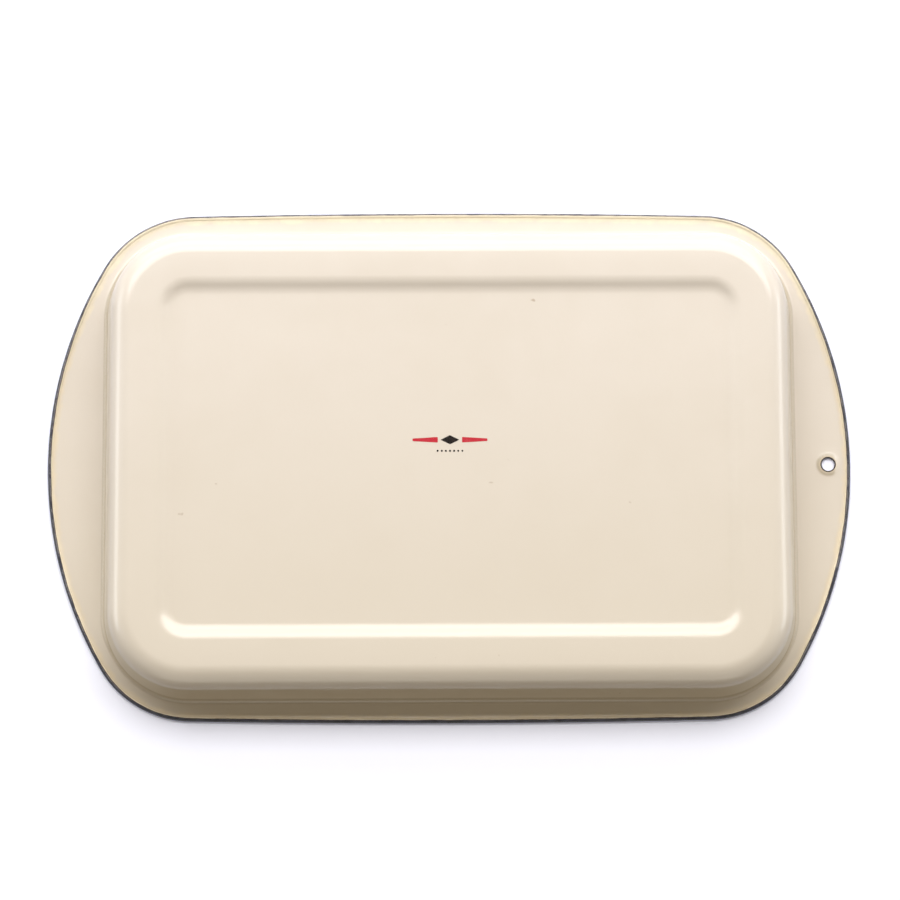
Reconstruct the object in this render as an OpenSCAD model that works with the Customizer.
// Enamelled pressed-steel serving tray, lying face down: +Z points out of its underside.
// Every layer follows the same surface, set back from the underside by its depth.

/* [Outline] */
// Overall length across the two ears
tray_length = 435; // [425:1:445]
// Overall width across the long sides
tray_width = 280; // [274:1:286]
// Radius of the arc that ends each ear
end_radius = 220; // [216:1:226]
// Radius that joins an ear's arc to a long side
corner_radius = 57.5; // [54:0.5:60]

/* [Pressing] */
// Overall height, from the rim to the foot band
tray_height = 34; // [28:1:38]
// Length of the straight stretch between two corners of the well
well_straight_x = 280; // [272:1:282]
// Width of the straight stretch between two corners of the well
well_straight_y = 162; // [156:1:164]
// Corner radius at the outer edge of the flat foot band
foot_corner = 30; // [26:1:30]
// Radius of the shoulder between the foot band and the wall
shoulder_radius = 13; // [8:1:13]
// Lean of the wall from upright, in degrees
wall_draft = 9; // [6:1:9]
// Radius of the inside corner between the wall and the flange
flange_fillet = 3; // [2:0.5:3]
// Width of the flat foot band
foot_band = 12.25; // [10:0.25:13]
// Width of the curved step from the foot band down to the centre panel
step_width = 10.5; // [8:0.5:11]
// Depth of that step
step_depth = 2.5; // [1:0.25:3]

/* [Sheet and coats] */
// Thickness of the steel sheet
steel_t = 0.6; // [0.5:0.05:0.6]
// Thickness of the dark ground coat on each side
ground_t = 0.08; // [0.06:0.01:0.1]
// Thickness of the cover coat on each side
cover_t = 0.12; // [0.1:0.01:0.15]
// Diameter of the rolled rim, coats included
rim_diameter = 2.4; // [2.3:0.1:3]

/* [Hanging hole] */
// Clear diameter of the hole
hole_diameter = 7; // [6:0.5:8]
// Width of the dark edge that shows round the hole
hole_edge_width = 0.75; // [0.6:0.05:1]
// Part of that edge that lines the cut steel
hole_lining = 0.4; // [0.3:0.05:0.5]
// Distance from the end of the ear to the middle of the hole
hole_inset = 12; // [11:0.5:14]
// Distance of the hole from the tray's long middle line
hole_offset = 0; // [-3:0.5:3]

/* [Prints] */
// Thickness of a fired print
print_t = 0.05; // [0.03:0.01:0.1]
// Overall width of the underside mark
mark_width = 40; // [30:1:46]
// Distance of the mark's bars from the middle of the panel
mark_offset = 9; // [0:0.5:12]
// Length of each red bar
bar_length = 13.5; // [8:0.5:14]
// Height of each red bar at its outer end
bar_height = 1.4; // [1:0.1:3]
// Height of each red bar at its inner end
bar_inner_height = 3; // [1:0.1:4]
// Width of the dark diamond between the bars
diamond_width = 10; // [4:0.5:12]
// Height of the dark diamond
diamond_height = 5; // [3:0.5:6]
// Number of dots in the row under the mark
dot_count = 7; // [3:2:9]
// Diameter of one dot
dot_diameter = 1.1; // [0.8:0.1:1.5]
// Distance between two dots
dot_pitch = 2.2; // [2:0.1:3]
// Distance from the bars down to the row of dots
dot_drop = 6; // [4:0.5:7]
// Distance of the face band from the edge of the panel
border_inset = 4; // [1:0.5:6]
// Width of the face band
border_width = 5; // [3:0.5:8]
// Gap between the face band and the thin line inside it
line_gap = 2.5; // [1:0.5:4]
// Width of the thin line
line_width = 1; // [0.5:0.25:2]

/* [Hidden] */
$fn = 96;

// Depths of the layers below the underside surface
depth_ground = cover_t;
depth_steel = cover_t + ground_t;
depth_ground_face = depth_steel + steel_t;
depth_cover_face = depth_ground_face + ground_t;
sheet_t = depth_cover_face + cover_t;

// Levels of the underside surface
z_flange = sheet_t;
z_foot = tray_height;
z_panel = tray_height - step_depth;

// Outline: centre of an ear's arc, and centre of the arc that joins it to a long side
end_x = tray_length / 2 - end_radius;
join_y = tray_width / 2 - corner_radius;
join_reach = sqrt(pow(end_radius - corner_radius, 2) - pow(join_y, 2));
join_x = end_x + join_reach;

// Rolled rim, measured from the outline: negative is inwards
rim_r = rim_diameter / 2;
curl_outer = rim_r - depth_steel;
curl_inner = curl_outer - steel_t;
rim_reach = 4;
rim_steps = 18;

// Well: middle of a corner, and distances outwards from it
corner_x = well_straight_x / 2;
corner_y = well_straight_y / 2;
step_outer = foot_corner - foot_band;
step_inner = step_outer - step_width;
step_radius = (pow(step_width, 2) + pow(step_depth, 2)) / (4 * step_depth);
step_angle = asin(step_width / (2 * step_radius));
shoulder_z = z_foot - shoulder_radius;
fillet_z = z_flange + flange_fillet;
fillet_run = shoulder_radius + flange_fillet - (fillet_z - shoulder_z) * sin(wall_draft);
fillet_s = foot_corner + fillet_run / cos(wall_draft);
well_edge = fillet_s + 0.6;
step_steps = 5;
step_slope = step_angle * step_steps / (step_steps + 1);
shoulder_steps = 12;
fillet_steps = 4;

// Hanging hole
hole_x = tray_length / 2 - hole_inset;
hole_r = hole_diameter / 2;
edge_r = hole_r + hole_edge_width;
pierced_r = hole_r + hole_lining;
far = 300;
cut = 1;

// Points along an arc, both ends included
function arc(centre, radius, from, to, steps) = [for (i = [0 : steps])
    let (a = from + (to - from) * i / steps) centre + radius * [cos(a), sin(a)]];

// The same points from the last to the first
function backwards(points) = [for (i = [len(points) - 1 : -1 : 0]) points[i]];

// The pressed surface at one depth, from the centre panel out to the flange.
// The step is straight where its two arcs meet, so each arc ends one turn short of that place.
function pressed_line(depth) = concat(
    arc([step_inner, z_panel + step_radius], step_radius + depth, -90, step_slope - 90, step_steps),
    arc([step_outer, z_foot - step_radius], step_radius - depth, 90 + step_slope, 90, step_steps),
    arc([foot_corner, shoulder_z], shoulder_radius - depth, 90, wall_draft, shoulder_steps),
    arc([fillet_s, fillet_z], flange_fillet + depth, 180 + wall_draft, 270, fillet_steps),
    [[well_edge, z_flange - depth]]);

// Rectangle with round corners that share the well's corner centres
module well_outline(radius) {
    square([2 * corner_x + 2 * radius, 2 * corner_y], center = true);
    square([2 * corner_x, 2 * corner_y + 2 * radius], center = true);
    for (x = [-corner_x, corner_x], y = [-corner_y, corner_y])
        translate([x, y])
            circle(radius);
}

// The part of the plane that an ear's arc sweeps, seen from that arc's centre
module ear_wedge() {
    polygon([[end_x, 0], [end_x + 3 * join_reach, 3 * join_y], [end_x + 3 * join_reach, -3 * join_y]]);
}

// The part of the plane that a joining arc sweeps, seen from that arc's centre
module join_wedge() {
    polygon([[join_x, join_y], [join_x + join_reach, 2 * join_y], [join_x + join_reach, far], [join_x, far]]);
}

// Copies its child to both ends
module both_ends() {
    children();
    mirror([1, 0, 0])
        children();
}

// Copies its child to all four corners
module four_corners() {
    both_ends()
        children();
    mirror([0, 1, 0])
        both_ends()
            children();
}

// The tray's outline, set in by a distance
module tray_outline(inset) {
    square([2 * join_x, tray_width - 2 * inset], center = true);
    both_ends()
        intersection() {
            translate([end_x, 0])
                circle(end_radius - inset);
            ear_wedge();
        }
    four_corners()
        intersection() {
            translate([join_x, join_y])
                circle(corner_radius - inset);
            join_wedge();
        }
}

// Carries a section round the tray's outline: x is the distance outside it, y the height
module round_outline(points) {
    both_ends()
        intersection() {
            translate([end_x, 0])
                rotate_extrude()
                    translate([end_radius, 0])
                        polygon(points);
            linear_extrude(far)
                ear_wedge();
        }
    four_corners()
        intersection() {
            translate([join_x, join_y])
                rotate_extrude()
                    translate([corner_radius, 0])
                        polygon(points);
            linear_extrude(far)
                join_wedge();
        }
    for (turn = [0, 180])
        rotate(turn)
            translate([-join_x, tray_width / 2])
                rotate([90, 0, 90])
                    linear_extrude(2 * join_x)
                        polygon(points);
}

// Carries a section round the well: x is the distance from the corner centres, y the height
module round_well(points) {
    four_corners()
        translate([corner_x, corner_y])
            rotate_extrude(angle = 90)
                polygon(points);
    for (turn = [0, 180]) {
        rotate(turn)
            translate([-corner_x, corner_y])
                rotate([90, 0, 90])
                    linear_extrude(2 * corner_x)
                        polygon(points);
        rotate(turn)
            translate([corner_x, corner_y])
                rotate([90, 0, 0])
                    linear_extrude(2 * corner_y)
                        polygon(points);
    }
}

// One layer of the pressing between two depths, out to an inset from the outline
module pressed_layer(depth_top, depth_bottom, inset) {
    thick = depth_bottom - depth_top;
    translate([0, 0, z_panel - depth_bottom])
        linear_extrude(thick)
            well_outline(step_inner);
    round_well(concat(pressed_line(depth_top), backwards(pressed_line(depth_bottom))));
    translate([0, 0, z_flange - depth_bottom])
        linear_extrude(thick)
            difference() {
                tray_outline(inset);
                well_outline(well_edge);
            }
}

// A round cut through the ear where the hanging hole is
module hole_cut(radius) {
    translate([hole_x, hole_offset, -cut])
        cylinder(h = sheet_t + 2 * cut, r = radius);
}

module steel_body() {
    low = z_flange - depth_ground_face;
    high = z_flange - depth_steel;
    centre = [-rim_r, rim_r];
    color("silver")
        difference() {
            union() {
                pressed_layer(depth_steel, depth_ground_face, rim_reach);
                round_outline(concat([[-rim_reach, low]],
                    arc(centre, curl_outer, -90, 180, rim_steps),
                    arc(centre, curl_inner, 180, -90, rim_steps),
                    [[-rim_reach, high]]));
            }
            hole_cut(pierced_r);
        }
}

module ground_coat_underside() {
    color("#26262b")
        difference() {
            pressed_layer(depth_ground, depth_steel, rim_diameter);
            hole_cut(edge_r);
        }
}

module ground_coat_face() {
    color("#2b2b31")
        difference() {
            pressed_layer(depth_ground_face, depth_cover_face, rim_r);
            hole_cut(edge_r);
        }
}

module cover_coat_underside() {
    color("#efe3d0")
        difference() {
            pressed_layer(0, depth_ground, rim_diameter);
            hole_cut(edge_r);
        }
}

module cover_coat_face() {
    color("#f4ecdd")
        difference() {
            pressed_layer(depth_cover_face, sheet_t, rim_r);
            hole_cut(edge_r);
        }
}

// Dark enamel over the curl, which also closes the seam between the curl's tip and the flange
module rim_edging() {
    centre = [-rim_r, rim_r];
    steel_top = z_flange - depth_steel;
    color("#23252b")
        round_outline(concat(
            arc(centre, rim_r, -90, 180, rim_steps),
            [[-rim_diameter, steel_top], [-rim_r - curl_inner, steel_top]],
            [[-rim_r - curl_inner, rim_r]],
            arc(centre, curl_outer, 180, -90, rim_steps)));
}

// Dark enamel that lines the hole and laps a little over both faces
module hole_edging() {
    steel_low = z_flange - depth_ground_face;
    steel_top = z_flange - depth_steel;
    color("#2a2420")
        translate([hole_x, hole_offset, 0])
            rotate_extrude()
                polygon([[hole_r, 0], [edge_r, 0], [edge_r, steel_low], [pierced_r, steel_low],
                    [pierced_r, steel_top], [edge_r, steel_top], [edge_r, z_flange], [hole_r, z_flange]]);
}

// A thin fired print that stands on the underside of the centre panel
module underside_print() {
    translate([0, mark_offset, z_panel])
        linear_extrude(print_t)
            children();
}

module mark_red_bars() {
    outer = mark_width / 2;
    inner = outer - bar_length;
    color("#c8323c")
        underside_print()
            both_ends()
                polygon([[inner, -bar_inner_height / 2], [outer, -bar_height / 2], [outer, bar_height / 2],
                    [inner, bar_inner_height / 2]]);
}

module mark_dark_diamond() {
    color("#1c1a1c")
        underside_print()
            polygon([[-diamond_width / 2, 0], [0, -diamond_height / 2], [diamond_width / 2, 0],
                [0, diamond_height / 2]]);
}

module mark_dark_dots() {
    color("#1c1a1c")
        underside_print()
            for (i = [0 : dot_count - 1])
                translate([(i - (dot_count - 1) / 2) * dot_pitch, -dot_drop])
                    circle(dot_diameter / 2);
}

// A thin fired ring on the face side of the centre panel
module face_ring(inset, width) {
    edge = step_inner - inset;
    long = corner_x + edge;
    short = corner_y + edge;
    translate([0, 0, z_panel - sheet_t - print_t])
        linear_extrude(print_t)
            difference() {
                square([2 * long, 2 * short], center = true);
                square([2 * (long - width), 2 * (short - width)], center = true);
            }
}

module face_border_print() {
    color("#b53a3a")
        face_ring(border_inset, border_width);
}

module face_inner_line_print() {
    color("#2a2a30")
        face_ring(border_inset + border_width + line_gap, line_width);
}

steel_body();
ground_coat_underside();
ground_coat_face();
cover_coat_underside();
cover_coat_face();
rim_edging();
hole_edging();
mark_red_bars();
mark_dark_diamond();
mark_dark_dots();
face_border_print();
face_inner_line_print();
